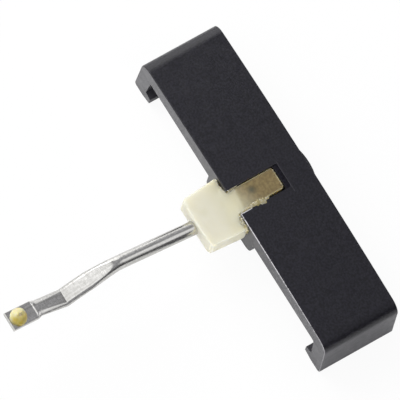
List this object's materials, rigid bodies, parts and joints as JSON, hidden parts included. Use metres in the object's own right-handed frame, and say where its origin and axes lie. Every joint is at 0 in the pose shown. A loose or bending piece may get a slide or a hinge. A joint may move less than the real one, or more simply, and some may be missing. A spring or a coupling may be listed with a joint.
{
  "type": "turntable stylus",
  "caption": "Clip-on turntable stylus: a hooked black clip carries a cream elastomer holder, a cranked aluminium cantilever and a jewel tip set in yellow adhesive.",
  "frame": {"origin": "middle of the clip's mouth, on the plane of the two lips' undersides", "axes": "+X along the strap, -Y forward along the cantilever, +Z out of the cartridge towards the record"},
  "size_m": [0.0178, 0.0178, 0.0049],
  "materials": {
    "clip_plastic": "satin black moulding",
    "holder_elastomer": "cream, slightly translucent",
    "cantilever_aluminium": "drawn tube, pressed bright",
    "tip_jewel": "polished jewel",
    "tip_adhesive": "cured clear yellow adhesive"
  },
  "bodies": {
    "clip": {"clip": "clip_plastic", "stylus_holder": "holder_elastomer"},
    "cantilever": {"cantilever": "cantilever_aluminium", "stylus_tip": "tip_jewel", "tip_adhesive": "tip_adhesive"}
  },
  "joints": [
    {"name": "cantilever_tilt", "type": "hinge", "parent": "clip", "child": "cantilever", "pos_m": [-0.00017, -0.0036, 0.00252], "axis": [1, 0, 0], "range_deg": [-2.5, 2.5], "stiffness_Nm_per_rad": 0.026, "deforming": ["stylus_holder"]}
  ]
}
